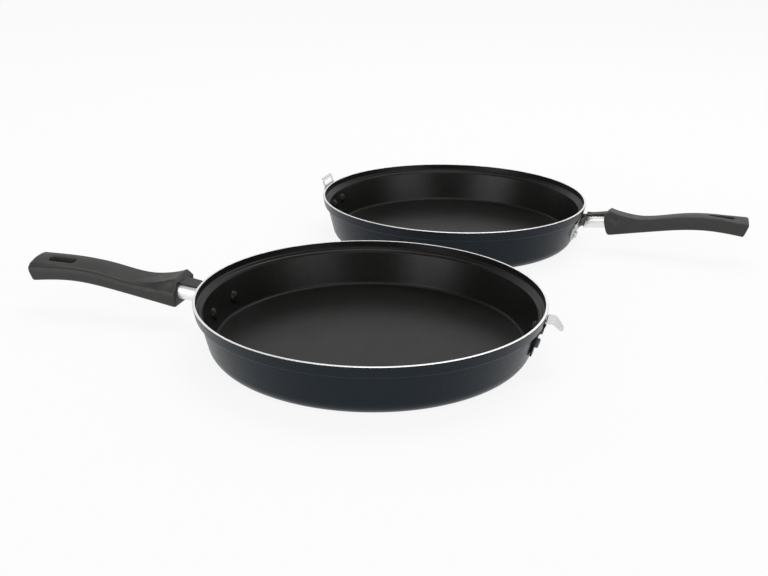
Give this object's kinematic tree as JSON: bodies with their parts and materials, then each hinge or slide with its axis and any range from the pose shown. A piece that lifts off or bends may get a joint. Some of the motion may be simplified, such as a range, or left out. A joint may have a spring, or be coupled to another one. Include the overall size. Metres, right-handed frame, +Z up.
{
  "type": "double sided flip pan",
  "caption": "Two round non-stick frying pans of one size, one with a hook plate and one with a loop plate, so that one turns over onto the other as a hinged lid.",
  "frame": {"origin": "middle of the hook pan's flat base, on the surface that both pans stand on", "axes": "+Z up; the hook pan's handle points along -X and its hook along +X; the loop pan stands behind it, towards +Y, with its handle along +X"},
  "size_m": [0.5655, 0.5496, 0.0507],
  "materials": {
    "pan_shell": "dark blue-grey lacquer outside, black non-stick inside, bare turned rim",
    "handle_bracket": "plain steel",
    "bracket_rivets": "satin; inner heads under the non-stick coating",
    "neck_sleeve": "polished",
    "grip": "dark grey moulded phenolic, satin",
    "grip_fastener": "zinc plated",
    "hinge_plate": "bare above the rim band, lacquered on the wall",
    "hinge_rivets": "satin; inner heads under the non-stick coating"
  },
  "bodies": {
    "hook_pan": {"hook_pan_shell": "pan_shell", "hook_pan_bracket": "handle_bracket", "hook_pan_bracket_rivets": "bracket_rivets", "hook_pan_sleeve": "neck_sleeve", "hook_pan_grip": "grip", "hook_pan_grip_screw": "grip_fastener", "hook_pan_grip_washer": "grip_fastener", "hook_pan_grip_nut": "grip_fastener", "hook_plate": "hinge_plate", "hook_plate_rivets": "hinge_rivets"},
    "loop_pan": {"loop_pan_shell": "pan_shell", "loop_pan_bracket": "handle_bracket", "loop_pan_bracket_rivets": "bracket_rivets", "loop_pan_sleeve": "neck_sleeve", "loop_pan_grip": "grip", "loop_pan_grip_screw": "grip_fastener", "loop_pan_grip_washer": "grip_fastener", "loop_pan_grip_nut": "grip_fastener", "loop_plate": "hinge_plate", "loop_plate_rivets": "hinge_rivets"}
  },
  "joints": [
    {"name": "loop_pan_lift", "type": "slide", "parent": "hook_pan", "child": "loop_pan", "axis": [0, 0, 1], "range_m": [0, 0.3]}
  ]
}
